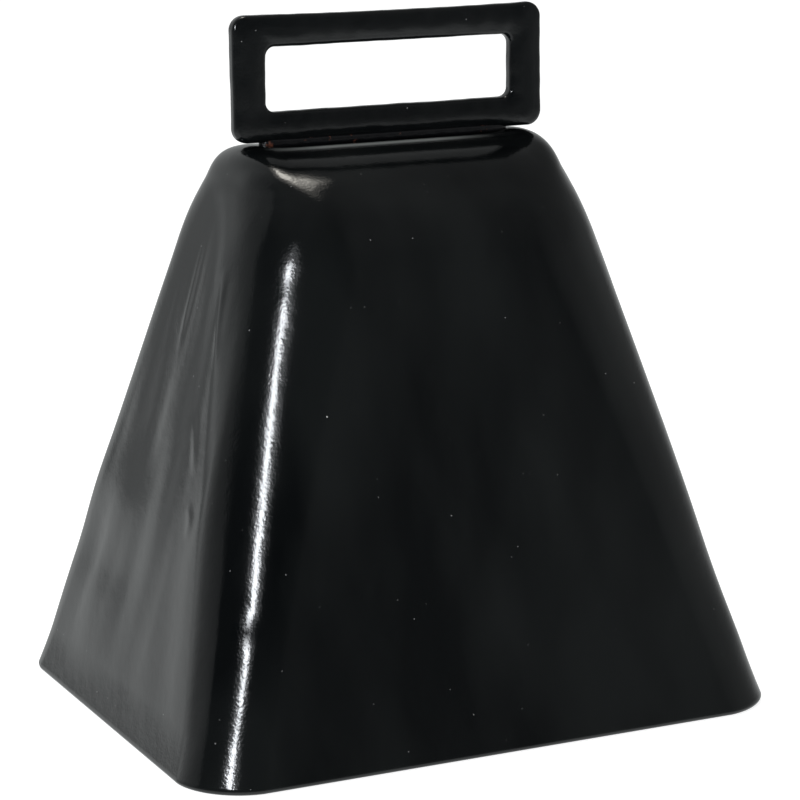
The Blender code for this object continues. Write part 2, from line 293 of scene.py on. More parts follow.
class BellShape:
    """The outer surface as outlines at each height, and the small dents that the draw left in it."""

    def __init__(self):
        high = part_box("bell_shell")[1]
        self.height = high.z
        self.mouth_width = high.x - LIP_FLARE
        self.mouth_depth = high.y - LIP_FLARE

    def wall_and_bend(self, z, at_rim, lean, radius):
        lean = math.radians(lean)
        bend_start = self.height - radius * (1 - math.sin(lean))
        flat_end = at_rim - bend_start * math.tan(lean) - radius * math.cos(lean)
        if z <= bend_start:
            return at_rim - z * math.tan(lean), flat_end
        above_centre = min(z - (self.height - radius), radius)
        return flat_end + math.sqrt(radius**2 - above_centre**2), flat_end

    def quarter(self, z):
        """Points from the middle of the front to the middle of the right side, closer where it turns."""
        width, flat_x = self.wall_and_bend(z, self.mouth_width, SIDE_LEAN, SHOULDER_RADIUS)
        depth, _ = self.wall_and_bend(z, self.mouth_depth, FACE_LEAN, CROWN_RADIUS)
        u = min(max(z / self.height, 0), 1)
        corner_x = smooth_minimum(width - flat_x + CROWN_CORNER, edge_radius(u), EDGE_BLEND)
        corner_y = smooth_minimum(depth, edge_radius(u), EDGE_BLEND)
        flare = LIP_FLARE * min(max(1 - (z - LIP_ROUND_OUTSIDE) / LIP_HEIGHT, 0), 1) ** 1.5
        width, depth = width + flare, depth + flare
        turn = np.linspace(0, math.pi / 2, EDGE_STEPS)
        corner = np.stack(
            [width - corner_x * (1 - np.sin(turn)), -depth + corner_y * (1 - np.cos(turn))], 1
        )
        outwards = np.stack([np.sin(turn) / corner_x, -np.cos(turn) / corner_y], 1)
        outwards /= np.linalg.norm(outwards, axis=1, keepdims=True)
        corner -= outwards * (flare * FLARE_LOST_AT_EDGES * np.sin(2 * turn)[:, None])
        line = np.concatenate([[[0, -depth]], corner, [[width, 0]]])
        steps = np.linalg.norm(np.diff(line, axis=0), axis=1)
        steps = steps / steps.sum()
        steps[1:-1] += TURN_WEIGHT / (len(turn) - 1)
        along = np.concatenate([[0], np.cumsum(steps)])
        wanted = np.linspace(0, along[-1], QUARTER_POINTS + 1)
        return np.stack([np.interp(wanted, along, line[:, 0]), np.interp(wanted, along, line[:, 1])], 1)

    def ring(self, z):
        quarter = self.quarter(z)
        back = quarter[::-1][1:] * [1, -1]
        right = np.concatenate([quarter, back])
        left = right[1:-1][::-1] * [-1, 1]
        xy = np.concatenate([right, left])
        return np.concatenate([xy, np.full((len(xy), 1), z)], 1)

    def heights(self):
        """From the crown down to where the lip's rounding starts."""
        start = np.linspace(0, CROWN_START, CROWN_START_ROWS)
        rest = np.linspace(CROWN_START, 90 - FACE_LEAN, BEND_ROWS)[1:]
        turns = np.radians(np.concatenate([start, rest]))
        bend = self.height - CROWN_RADIUS * (1 - np.cos(turns))
        above_lip = LIP_HEIGHT * 1.2
        wall = np.linspace(bend[-1], above_lip, WALL_ROWS)[1:]
        lip = np.linspace(above_lip, LIP_ROUND_OUTSIDE, LIP_ROWS)[1:]
        return np.concatenate([bend, wall, lip])

    def crown_form(self, x, y, upwards):
        """The crown steps down in front of and behind the loop, and its shoulders stand a little proud.

        Upwards is the rise of the surface's normal, so the form ends where the crown bends into the walls.
        """
        past_step = min(max((abs(y) - STEP_START) / STEP_RUN, 0), 1)
        regained = smooth_step((STEP_END - abs(y)) / (STEP_END - STEP_START - STEP_RUN))
        middle = smooth_step((STEP_HALF_LENGTH - abs(x)) / STEP_FADE)
        step = -STEP_DROP * past_step * regained * middle * smooth_step(upwards / 0.4)
        proud = SHOULDER_RISE * math.exp(-(((abs(x) - SHOULDER_PLACE) / SHOULDER_WIDTH) ** 2))
        return step + proud * smooth_step((upwards - 0.5) / 0.4)

    def dent(self, point, normal):
        """How far out the sheet stands at a point, from the draw's wrinkles and from knocks."""
        x, y, z = point
        u = z / self.height
        spread_y = y / (self.mouth_depth - z * WALL_TAPER)
        spread_x = x / (self.mouth_width - z * WALL_TAPER)
        on_side = smooth_step((abs(normal[0]) - 0.78) / 0.16)
        on_face = smooth_step((abs(normal[1]) - 0.55) / 0.35)
        fade = smooth_step((0.93 - u) / 0.2) * smooth_step((u - 0.03) / 0.12)
        side = 1 if x > 0 else -1
        face = 1 if y > 0 else -1
        out = 0.0
        # Wrinkles run up and down the sides, and fan out towards the mouth.
        if on_side * fade > 0:
            wrinkle = noise.noise(Vector((spread_y * 3.4 + side, u * 1.9, 4.0 + side)))
            fine = noise.noise(Vector((spread_y * 5.0 - side + u * 2.4, u * 4.0, 9.0 + side)))
            out += on_side * fade * (SIDE_WRINKLE * wrinkle + SIDE_FINE_WRINKLE * fine)
        # The broad faces are smoother, with slow diagonal waves.
        if on_face * fade > 0:
            wave = noise.noise(Vector((spread_x * 2.6 + u * 1.1 + face, u * 1.5, 14.0 + face)))
            streak = noise.noise(Vector((spread_x * 7.0 + u * 3.0, u * 1.6, 21.0 + face)))
            out += on_face * fade * (FACE_WAVE * wave + FACE_STREAK * streak)
        for centre, reach, amount in DENTS:
            away = sum(((p - c) / r) ** 2 for p, c, r in zip(point, centre, reach))
            if away < 9:
                out += amount * math.exp(-away)
        for path, half_width, amount in CREASES:
            top, foot = path[0], path[-1]
            if foot[2] - CREASE_MARGIN < z < top[2] + CREASE_MARGIN and x * top[0] > 0:
                out += crease(Vector(point), path, half_width) * amount
        return out


# Knocks and hollows: centre, reach along each axis, and height (negative for a hollow).
DENTS = [
    ((-0.043, 0.012, 0.034), (0.012, 0.016, 0.0065), 0.00032),
    ((-0.045, 0.014, 0.0235), (0.012, 0.016, 0.0050), -0.00026),
    ((0.043, -0.034, 0.023), (0.014, 0.014, 0.0090), -0.00026),
    ((0.045, -0.036, 0.009), (0.014, 0.014, 0.0060), 0.00014),
    ((-0.0393, -0.0343, 0.0258), (0.007, 0.007, 0.0030), -0.00010),
    ((-0.0398, -0.0350, 0.0205), (0.006, 0.006, 0.0030), 0.00006),
    ((-0.0265, -0.0205, 0.0710), (0.006, 0.006, 0.0040), 0.00005),
]

CREASE_MARGIN = 0.003  # how far past its ends a crease can be felt

# Narrow raised creases: points from top to foot, half-width and height.
CREASES = [
    (
        [
            (-0.0235, -0.0110, 0.0895),
            (-0.0251, -0.0138, 0.0863),
            (-0.0271, -0.0160, 0.0818),
            (-0.0288, -0.0180, 0.0762),
        ],
        0.00120,
        0.000040,
    ),
    (
        [(-0.0318, -0.0011, 0.0805), (-0.0345, 0.0002, 0.0696), (-0.0373, 0.0018, 0.0580)],
        0.00095,
        0.000190,
    ),
    (
        [(-0.0324, -0.0105, 0.0766), (-0.0349, -0.0123, 0.0673), (-0.0372, -0.0149, 0.0584)],
        0.00090,
        0.000160,
    ),
    (
        [(-0.0385, -0.0102, 0.0530), (-0.0409, -0.0152, 0.0433)],
        0.00120,
        0.000130,
    ),
    (
        [(-0.0418, -0.0150, 0.0395), (-0.0425, -0.0174, 0.0367), (-0.0432, -0.0166, 0.0335)],
        0.00110,
        0.000110,
    ),
    (
        [(0.0330, 0.0040, 0.0740), (0.0395, 0.0060, 0.0530)],
        0.00100,
        0.000090,
    ),
]


def crease(point, path, half_width):
    """How much of a narrow ridge's height there is at a point. It fades at both ends of its path."""
    felt = 4 * half_width
    best, share = felt, 0.0
    legs = len(path) - 1
    for k in range(legs):
        top, along = Vector(path[k]), Vector(path[k + 1]) - Vector(path[k])
        t = min(max((point - top).dot(along) / along.length_squared, 0), 1)
        away = (point - (top + along * t)).length
        if away < best:
            best, share = away, (k + t) / legs
    if best >= felt:
        return 0.0
    ends = smooth_step(share / 0.3) * smooth_step((1 - share) / 0.4)
    return ends * math.exp(-((best / half_width) ** 2))


def grid_normals(grid):
    """Outward unit normals of a grid of rings, which run anticlockwise and from the crown down."""
    along = np.roll(grid, -1, axis=1) - np.roll(grid, 1, axis=1)
    down = np.gradient(grid, axis=0)
    normal = np.cross(down, along)
    length = np.linalg.norm(normal, axis=2, keepdims=True)
    return normal / np.maximum(length, 1e-12)


def make_bell_shell(shape):
    """One closed sheet: the outer surface from the crown down, round the lip, and up again inside."""
    heights = shape.heights()
    smooth = np.stack([shape.ring(z) for z in heights])
    normals = grid_normals(smooth)
    normals[0] = (0, 0, 1)
    sheet = smooth.copy()
    outer = smooth.copy()
    for i in range(len(outer)):
        for j in range(outer.shape[1]):
            point, normal = smooth[i, j], normals[i, j]
            sheet[i, j] = point + normal * shape.dent(point, normal)
            outer[i, j] = sheet[i, j] + normal * shape.crown_form(point[0], point[1], normal[2])
    inner = sheet - normals * WALL
    inner[0, :, 2] = shape.height - WALL
    level_out = normals[-1] * [1, 1, 0]
    level_out /= np.linalg.norm(level_out, axis=1, keepdims=True)
    rim = []
    for inset, z in arc((LIP_ROUND_OUTSIDE, LIP_ROUND_OUTSIDE), LIP_ROUND_OUTSIDE, 180, 270, 8)[1:]:
        rim.append(outer[-1] * [1, 1, 0] - level_out * inset + [0, 0, z])
    inside_edge = (WALL * 1.02 - LIP_ROUND_INSIDE, LIP_ROUND_INSIDE)
    for inset, z in arc(inside_edge, LIP_ROUND_INSIDE, 270, 360, 4):
        rim.append(outer[-1] * [1, 1, 0] - level_out * inset + [0, 0, z])
    rows = np.concatenate([outer, np.stack(rim), inner[::INNER_ROW_STEP][::-1]])
    count = rows.shape[1]
    faces = grid_faces(len(rows), count)
    for base, flip in ((0, False), ((len(rows) - 1) * count, True)):
        faces += crown_cap(base, count, QUARTER_POINTS, flip)
    obj = mesh_object("bell_shell_skin", rows.reshape(-1, 3), faces)
    fix_normals(obj)
    return obj


def crown_cap(base, count, quarter, flip):
    """Quads across the flat crown, from each front point to the back point that mirrors it."""
    faces = []
    for side in (1, -1):
        for j in range(quarter):
            front, front_next = base + (side * j) % count, base + (side * (j + 1)) % count
            back = base + (side * (2 * quarter - j)) % count
            back_next = base + (side * (2 * quarter - j - 1)) % count
            corners = [front, front_next, back_next, back]
            corners = [c for k, c in enumerate(corners) if c not in corners[:k]]
            faces.append(tuple(reversed(corners)) if (side < 0) != flip else tuple(corners))
    return faces


# --- Strap loop and seam ---------------------------------------------------------------------------


def rounded_outline(low, high, radius, straight_steps, corner_steps):
    """Points round a rectangle with round corners in the XZ plane.

    Rectangles of any size match point for point.
    """
    corners = [
        ((high[0] - radius, high[1] - radius), 0),
        ((low[0] + radius, high[1] - radius), 90),
        ((low[0] + radius, low[1] + radius), 180),
        ((high[0] - radius, low[1] + radius), 270),
    ]
    points = []
    for i, (centre, start) in enumerate(corners):
        bend = arc(centre, radius, start, start + 90, corner_steps)
        points += bend
        next_centre, next_start = corners[(i + 1) % 4]
        following = arc(next_centre, radius, next_start, next_start + 90, 1)[0]
        steps = straight_steps[i % 2]
        for k in range(1, steps):
            share = k / steps
            points.append(tuple(a + (b - a) * share for a, b in zip(bend[-1], following)))
    return points


def bar_section(bar, half_thickness, edge, pillow):
    """The loop's cross-section as (distance from the slot, y) points: swollen faces and round edges."""
    flat = np.linspace(edge, bar - edge, 9)
    swell = pillow * (1 - ((flat - bar / 2) / (bar / 2 - edge)) ** 2)
    side = half_thickness - pillow
    section = [(q, -(side + s)) for q, s in zip(flat, swell)]
    section += arc((bar - edge, -(side - edge)), edge, -90, 0, 6)[1:-1]
    section += [(bar, y) for y in np.linspace(-(side - edge), side - edge, 5)]
    section += arc((bar - edge, side - edge), edge, 0, 90, 6)[1:-1]
    section += [(q, side + s) for q, s in zip(flat[::-1], swell[::-1])]
    section += arc((edge, side - edge), edge, 90, 180, 6)[1:-1]
    section += [(0, y) for y in np.linspace(side - edge, -(side - edge), 5)]
    section += arc((edge, -(side - edge)), edge, 180, 270, 6)[1:-1]
    return section


def make_strap_loop():
    low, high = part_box("strap_loop")
    low.z -= LOOP_SEATED
    end_bar, foot_bar, top_bar = LOOP_BARS
    steps = (LOOP_STRAIGHTS, LOOP_CORNER_STEPS)
    outer = rounded_outline((low.x, low.z), (high.x, high.z), LOOP_CORNER, *steps)
    slot_low = (low.x + end_bar, low.z + foot_bar)
    slot_high = (high.x - end_bar, high.z - top_bar)
    inner = rounded_outline(slot_low, slot_high, SLOT_CORNER, *steps)
    middle, half_length = (low.x + high.x) / 2, (high.x - low.x) / 2
    points = []
    for (ox, oz), (ix, iz) in zip(outer, inner):
        bar = math.dist((ox, oz), (ix, iz))
        at_top = smooth_step((iz - slot_low[1]) / (slot_high[1] - slot_low[1]))
        hollow = LOOP_HOLLOW * at_top * (1 - ((ox - middle) / half_length) ** 2)
        for distance, y in bar_section(bar, (high.y - low.y) / 2, LOOP_EDGE, LOOP_PILLOW):
            share = distance / bar
            points.append((ix + (ox - ix) * share, y, iz + (oz - iz - hollow) * share))
    section = bar_section(foot_bar, (high.y - low.y) / 2, LOOP_EDGE, LOOP_PILLOW)
    faces = grid_faces(len(outer), len(section), wrap_rows=True)
    loop = mesh_object("strap_loop_skin", points, faces)
    fix_normals(loop)
    roughen(loop, amount=0.00006, scale=420, seed=3)
    roughen(loop, amount=0.00010, scale=95, seed=5)
    keep_inside(loop, low, high)
    return loop


def keep_inside(obj, low, high):
    """Holds every point of a piece inside a box."""
    for vertex in obj.data.vertices:
        vertex.co = [min(max(c, a), b) for c, a, b in zip(vertex.co, low, high)]


def make_braze_seam():
    """A lumpy bead that fills the corner between the loop's foot and the crown, on both sides."""
    low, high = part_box("braze_seam")
    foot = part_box("strap_loop")[0].z
    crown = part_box("bell_shell")[1].z
    half_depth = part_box("strap_loop")[1].y + SEAM_PROUD
    points = []
    for i in range(SEAM_STATIONS):
        t = i / (SEAM_STATIONS - 1)
        x = low.x - SEAM_RUN_OUT + (high.x - low.x + 2 * SEAM_RUN_OUT) * t
        ends = math.sqrt(max(1 - (2 * t - 1) ** 12, 0.0))
        lump = noise.noise(Vector((x * 520, 0, 3.0)))
        for k in range(SEAM_SIDES):
            turn = 2 * math.pi * k / SEAM_SIDES
            grain = noise.noise(Vector((x * 900, math.cos(turn) * 2, math.sin(turn) * 2)))
            reach = (half_depth + SEAM_LUMP * lump + SEAM_GRAIN * grain) * max(ends, 0.15)
            # The section is a circle pushed towards a square, then fitted to the gap under the loop.
            squared = 1 / max(abs(math.cos(turn)), abs(math.sin(turn))) ** 0.7
            y = math.cos(turn) * reach * squared * 0.86
            z = (crown + foot) / 2 + (math.sin(turn) * squared * 0.80 + 0.12) * (foot - crown)
            points.append((x, y, z))
    faces = grid_faces(SEAM_STATIONS, SEAM_SIDES)
    last = (SEAM_STATIONS - 1) * SEAM_SIDES
    faces += [tuple(range(SEAM_SIDES)), tuple(range(last, last + SEAM_SIDES))]
    seam = mesh_object("braze_seam_bead", points, faces)
    fix_normals(seam)
    return seam


# --- Staple, link and clapper ----------------------------------------------------------------------


def make_staple():
    low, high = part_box("clapper_staple")
    wire = (high.y - low.y) / 2
    span = (high.x - low.x) / 2 - wire
    bow_z = low.z + wire + span
    bow = arc((0, bow_z), span, 180, 360, STAPLE_BOW_STEPS)
    legs = [high.z - (high.z - bow_z) * k / LEG_STEPS for k in range(LEG_STEPS)]
    path = [(-span, 0, z) for z in legs] + [(x, 0, z) for x, z in bow]
    path += [(span, 0, z) for z in reversed(legs)]
    staple = tube("clapper_staple_wire", path, wire)
    roughen(staple, amount=0.00004, scale=600, seed=11)
    return staple


def make_leg_fillet(node, name, seed):
    """A ring of braze with a hollow flank, under the crown and round a leg of the staple."""
    low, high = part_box(node)
    centre = (low + high) / 2
    wire = (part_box("clapper_staple")[1].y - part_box("clapper_staple")[0].y) / 2
    reach = (high.x - low.x) / 2
    drop = high.z - low.z
    bore = wire * 1.04
    profile = [(bore, drop), (reach, drop), (reach * 0.985, drop * 0.86)]
    flank_width, flank_height, flank_foot = reach - wire * 1.15, drop * 0.72, drop * 0.10
    for a, b in arc((0, 0), 1.0, 100, 175, 8):
        profile.append((reach + a * flank_width, flank_foot + b * flank_height))
    profile.append((bore, 0.0))
    fillet = lathe(name, profile, (centre.x, 0, low.z))
    roughen(fillet, amount=0.00016, scale=480, seed=seed)
    return fillet


def make_link():
    low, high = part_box("clapper_link")
    wire = (high.x - low.x) / 2
    bow = (high.y - low.y) / 2 - wire
    top, bottom = high.z - wire - bow, low.z + wire + bow
    shares = [k / LINK_SIDE_STEPS for k in range(1, LINK_SIDE_STEPS)]
    path = arc((0, top), bow, 0, 180, LINK_BOW_STEPS)
    path += [(-bow, top + (bottom - top) * share) for share in shares]
    path += arc((0, bottom), bow, 180, 360, LINK_BOW_STEPS)
    path += [(bow, bottom + (top - bottom) * share) for share in shares]
    link = tube("clapper_link_wire", [(0, y, z) for y, z in path], wire, closed=True)
    roughen(link, amount=0.00004, scale=600, seed=13)
    return link


def make_rod():
    """The clapper's wire: a turned eye, a straight shank, a swaged collar and a peened end."""
    low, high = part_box("clapper_rod")
    ball_low, ball_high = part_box("clapper_ball")
    link_low, link_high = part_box("clapper_link")
    eye_radius = (link_high.x - link_low.x) / 2 + LINK_PLAY + ROD_WIRE
    pivot = high.z - ROD_WIRE - eye_radius
    neck_drop = math.sqrt((eye_radius + EYE_NECK_RADIUS) ** 2 - EYE_NECK_RADIUS**2)
    neck_turn = math.degrees(math.atan2(neck_drop, EYE_NECK_RADIUS))
    eye = arc((0, pivot), eye_radius, EYE_END, 180 + neck_turn, EYE_STEPS)
    neck_centre = (-EYE_NECK_RADIUS, pivot - neck_drop)
    neck = arc(neck_centre, EYE_NECK_RADIUS, neck_turn, 0, NECK_STEPS)
    bent = eye + neck[1:]
    shank_top, collar_foot, ball_foot = bent[-1][1], ball_high.z, ball_low.z
    shank_length = shank_top - (collar_foot + COLLAR_TOP)
    shank = [(shank_top - shank_length * k / SHANK_STEPS, 1.0) for k in range(1, SHANK_STEPS)]
    shank += [(collar_foot + rise, share) for rise, share in COLLAR]
    shank += [(ball_foot + 0.0002, 1.0)]
    shank += [(ball_foot - (ball_foot - low.z) * drop, share) for drop, share in PEENED_END]
    path = [(x, 0, z) for x, z in bent] + [(0, 0, z) for z, _ in shank]
    radii = [ROD_WIRE] * len(bent) + [ROD_WIRE * share for _, share in shank]
    rod = tube("clapper_rod_wire", path, radii)
    roughen(rod, amount=0.00005, scale=520, seed=17)
    keep_inside(rod, low, high)
    return rod


def make_ball():
    low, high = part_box("clapper_ball")
    radius = (high.x - low.x) / 2
    bore = math.sqrt(radius**2 - ((high.z - low.z) / 2) ** 2)
    end = math.degrees(math.acos(bore / radius))
    profile = arc((0, 0), radius, end - BALL_CHAMFER, BALL_CHAMFER - end, BALL_STEPS)
    lip = radius * math.sin(math.radians(end))
    profile += [(bore, lip * share) for share in (-0.985, -0.5, 0.5, 0.985)]
    ball = lathe("clapper_ball_steel", profile, (0, 0, (low.z + high.z) / 2))
    roughen(ball, amount=0.00005, scale=260, seed=19)
    keep_inside(ball, low, high)
    return ball


# --- Materials -------------------------------------------------------------------------------------


class Nodes:
    """Adds nodes to a tree. A value is a number, a colour or the output socket of an earlier node."""

    def __init__(self, tree):
        self.tree = tree

    def add(self, kind, **settings):
        node = self.tree.nodes.new(kind)
        for key, value in settings.items():
            setattr(node, key, value)
        return node

    def link(self, source, target):
        self.tree.links.new(source, target)

    def maths(self, operation, *values):
        node = self.add("ShaderNodeMath", operation=operation)
        for socket, value in zip(node.inputs, values):
            if isinstance(value, (int, float)):
                socket.default_value = value
            else:
                self.link(value, socket)
        return node.outputs["Value"]

    def ramp(self, source, stops):
        """stops are (position, value or colour) pairs."""
        node = self.add("ShaderNodeValToRGB")
        elements = node.color_ramp.elements
        while len(elements) < len(stops):
            elements.new(0.5)
        for element, (position, value) in zip(elements, stops):
            element.position = position
            colour = value if isinstance(value, tuple) else (value, value, value)
            element.color = (*colour, 1)
        self.link(source, node.inputs["Fac"])
        return node.outputs["Color"]

    def mix(self, share, a, b):
        """Colour a to colour b by the share."""
        node = self.add("ShaderNodeMix", data_type="RGBA")
        self.link(share, next(s for s in node.inputs if s.name == "Factor" and s.type == "VALUE"))
        for socket, value in zip((s for s in node.inputs if s.type == "RGBA"), (a, b)):
            if isinstance(value, tuple):
                socket.default_value = (*value, 1)
            else:
                self.link(value, socket)
        return next(s for s in node.outputs if s.type == "RGBA")


class MaterialNodes(Nodes):
    """A new material's nodes, with the object's own coordinates as its pattern space."""

    def __init__(self, name):
        self.material = bpy.data.materials.new(name)
        self.material.use_nodes = True
        super().__init__(self.material.node_tree)
        self.shader = self.tree.nodes["Principled BSDF"]
        self.place = self.add("ShaderNodeTexCoord").outputs["Object"]

    def noise(self, scale, detail=3.0, roughness=0.5, stretch=None):
        node = self.add("ShaderNodeTexNoise")
        node.inputs["Scale"].default_value = scale
        node.inputs["Detail"].default_value = detail
        node.inputs["Roughness"].default_value = roughness
        place = self.place
        if stretch:
            mapping = self.add("ShaderNodeMapping")
            mapping.inputs["Scale"].default_value = stretch
            self.link(place, mapping.inputs["Vector"])
            place = mapping.outputs["Vector"]
        self.link(place, node.inputs["Vector"])
        return node.outputs["Fac"]

    def specks(self, scale, size, share):
        """1 inside a few small round specks. Scale is cells per metre, and size a share of a cell."""
        cells = self.add("ShaderNodeTexVoronoi")
        cells.inputs["Scale"].default_value = scale
        self.link(self.place, cells.inputs["Vector"])
        split = self.add("ShaderNodeSeparateColor")
        self.link(cells.outputs["Color"], split.inputs["Color"])
        chosen = self.maths("GREATER_THAN", split.outputs["Red"], 1 - share)
        reach = self.maths("MULTIPLY", split.outputs["Green"], size)
        near = self.maths("LESS_THAN", cells.outputs["Distance"], reach)
        return self.maths("MULTIPLY", chosen, near)

    def spot(self, place, reach):
        """1 at a place on the object, and 0 beyond the reach."""
        away = self.add("ShaderNodeVectorMath", operation="DISTANCE")
        self.link(self.place, away.inputs[0])
        away.inputs[1].default_value = place
        return self.ramp(self.maths("DIVIDE", away.outputs["Value"], reach), [(0.1, 1.0), (1.0, 0.0)])

    def step_highlight(self):
        """1 along the edge of the crown's step, where a pale line is painted as a highlight."""
        split = self.add("ShaderNodeSeparateXYZ")
        self.link(self.place, split.inputs["Vector"])
        x, y, z = split.outputs
        # A ramp runs from 0 to 1, so the distances are scaled up to use its whole range.
        enlarged = 100
        edge, run = STEP_START * enlarged, STEP_RUN * enlarged
        across = self.maths("MULTIPLY", self.maths("ABSOLUTE", y), enlarged)
        stops = [(edge - run * 0.2, 0.0), (edge + run * 0.4, 1.0), (edge + run * 1.1, 0.0)]
        line = self.ramp(across, stops)
        from_middle = self.maths("ABSOLUTE", self.maths("ADD", x, STEP_HIGHLIGHT_SHIFT))
        along = self.maths("MULTIPLY", from_middle, 30)
        line = self.maths("MULTIPLY", line, self.ramp(along, [(0.30, 1.0), (0.62, 0.0)]))
        return self.maths("MULTIPLY", line, self.maths("GREATER_THAN", z, STEP_HIGHLIGHT_LOWEST))

    def bump(self, layers):
        """layers are (height socket, depth in metres) pairs, coarse to fine."""
        normal = None
        for height, depth in layers:
            node = self.add("ShaderNodeBump")
            node.inputs["Strength"].default_value = 1.0
            node.inputs["Distance"].default_value = depth
            self.link(height, node.inputs["Height"])
            if normal:
                self.link(normal, node.inputs["Normal"])
            normal = node.outputs["Normal"]
        self.link(normal, self.shader.inputs["Normal"])


def gloss_coat(name, base, clouded, roughness, grain, on_shell=False):
    """Glossy black powder coat, with a cool tint, orange peel, faint smears and a few specks of dust.

    On the shell it also has a painted highlight, a pale line along the crown's step, and a dull spot on
    the near edge.
    """
    nodes = MaterialNodes(name)
    cloud = nodes.noise(62, 3, 0.45, stretch=(1.0, 1.0, 0.32))
    colour = nodes.ramp(cloud, [(0.38, base), (0.66, clouded)])
    dust = nodes.specks(210, 0.050, 0.10)
    fine_dust = nodes.specks(830, 0.10, 0.12)
    colour = nodes.mix(fine_dust, colour, (0.20, 0.20, 0.20))
    if on_shell:
        # Painted highlight: a pale line along the crown's step stands in for a reflection.
        colour = nodes.mix(nodes.step_highlight(), colour, (0.30, 0.31, 0.30))
        gloss = nodes.ramp(nodes.spot(DULL_SPOT, DULL_SPOT_REACH), [(0.0, 0.5), (1.0, 0.02)])
        nodes.link(gloss, nodes.shader.inputs["Specular IOR Level"])
    nodes.link(nodes.mix(dust, colour, (0.42, 0.42, 0.40)), nodes.shader.inputs["Base Color"])
    smear = nodes.noise(46, 5, 0.6, stretch=(1.0, 1.0, 0.35))
    smear_roughness = nodes.ramp(smear, [(0.35, roughness[0]), (0.72, roughness[1])])
    nodes.link(smear_roughness, nodes.shader.inputs["Roughness"])
    nodes.shader.inputs["IOR"].default_value = 1.5
    orange_peel, powder_grain = nodes.noise(420, 2), nodes.noise(2600, 2)
    nodes.bump([(orange_peel, 0.00003 * grain), (powder_grain, 0.000016 * grain), (dust, 0.00004)])
    return nodes.material


def braze_metal():
    """Braze under a thin skin of black coat, which has broken to copper brown in places."""
    nodes = MaterialNodes("braze_under_coat")
    bare = nodes.ramp(nodes.noise(330, 5, 0.65), [(0.60, 0.0), (0.68, 1.0)])
    copper = nodes.ramp(nodes.noise(900, 4), [(0.3, (0.10, 0.028, 0.014)), (0.7, (0.26, 0.075, 0.035))])
    colour = nodes.mix(bare, (0.006, 0.006, 0.007), copper)
    specks = nodes.specks(1500, 0.30, 0.05)
    nodes.link(nodes.mix(specks, colour, (0.60, 0.58, 0.54)), nodes.shader.inputs["Base Color"])
    nodes.link(nodes.ramp(bare, [(0.0, 0.22), (1.0, 0.5)]), nodes.shader.inputs["Roughness"])
    nodes.bump([(nodes.noise(1300, 4), 0.00006)])
    return nodes.material


def fillet_braze():
    """Bare bronze braze, dulled by heat, round the staple's legs."""
    nodes = MaterialNodes("bronze_braze")
    colour = nodes.ramp(
        nodes.noise(380, 5, 0.6),
        [(0.30, (0.045, 0.030, 0.022)), (0.50, (0.30, 0.16, 0.07)), (0.72, (0.46, 0.28, 0.12))],
    )
    nodes.link(colour, nodes.shader.inputs["Base Color"])
    dulled = nodes.ramp(nodes.noise(500, 3), [(0.3, 0.28), (0.7, 0.55)])
    nodes.link(dulled, nodes.shader.inputs["Roughness"])
    nodes.shader.inputs["Metallic"].default_value = 0.85
    nodes.bump([(nodes.noise(900, 4), 0.00005)])
    return nodes.material


def worn_wire():
    """Wire with a thin black dip that has rubbed through to steel."""
    nodes = MaterialNodes("black_dipped_wire")
    worn = nodes.ramp(nodes.noise(520, 6, 0.7), [(0.56, 0.0), (0.66, 1.0)])
    steel = nodes.ramp(nodes.noise(1400, 3), [(0.3, (0.16, 0.155, 0.15)), (0.7, (0.34, 0.33, 0.32))])
    nodes.link(nodes.mix(worn, (0.010, 0.010, 0.011), steel), nodes.shader.inputs["Base Color"])
    nodes.link(nodes.ramp(worn, [(0.0, 0.24), (1.0, 0.42)]), nodes.shader.inputs["Roughness"])
    nodes.link(nodes.ramp(worn, [(0.0, 0.0), (1.0, 1.0)]), nodes.shader.inputs["Metallic"])
    nodes.bump([(nodes.noise(700, 4), 0.00003), (worn, 0.00002)])
    return nodes.material


def ball_steel():
    """Turned steel ball with fine tool rings, dark oxide and bruises from striking the bell."""
    nodes = MaterialNodes("oxidised_ball_steel")
    rings = nodes.noise(900, 2, stretch=(0.03, 0.03, 1.0))
    oxide = nodes.noise(190, 6, 0.62)
    bruise = nodes.ramp(nodes.noise(420, 3), [(0.60, 0.0), (0.68, 1.0)])
    dark = nodes.ramp(oxide, [(0.30, (0.060, 0.056, 0.052)), (0.70, (0.17, 0.165, 0.16))])
    nodes.link(nodes.mix(bruise, dark, (0.36, 0.35, 0.34)), nodes.shader.inputs["Base Color"])
    nodes.link(nodes.ramp(oxide, [(0.3, 0.30), (0.7, 0.52)]), nodes.shader.inputs["Roughness"])
    nodes.shader.inputs["Metallic"].default_value = 1.0
    nodes.bump([(rings, 0.00003), (nodes.noise(1500, 3), 0.00001)])
    return nodes.material


# --- Floor, light and camera -----------------------------------------------------------------------


def direction(azimuth, elevation):
    """Unit vector towards a place round the bell. Azimuth 0 is in front (-Y), and 90 to the right (+X)."""
    a, e = math.radians(azimuth), math.radians(elevation)
    return Vector((math.sin(a) * math.cos(e), -math.cos(a) * math.cos(e), math.sin(e)))


FLOOR_HALF = 4.0
FLOOR_DROP = 0.0002  # the floor's distance below the rim
FLOOR_GLOW = 0.88


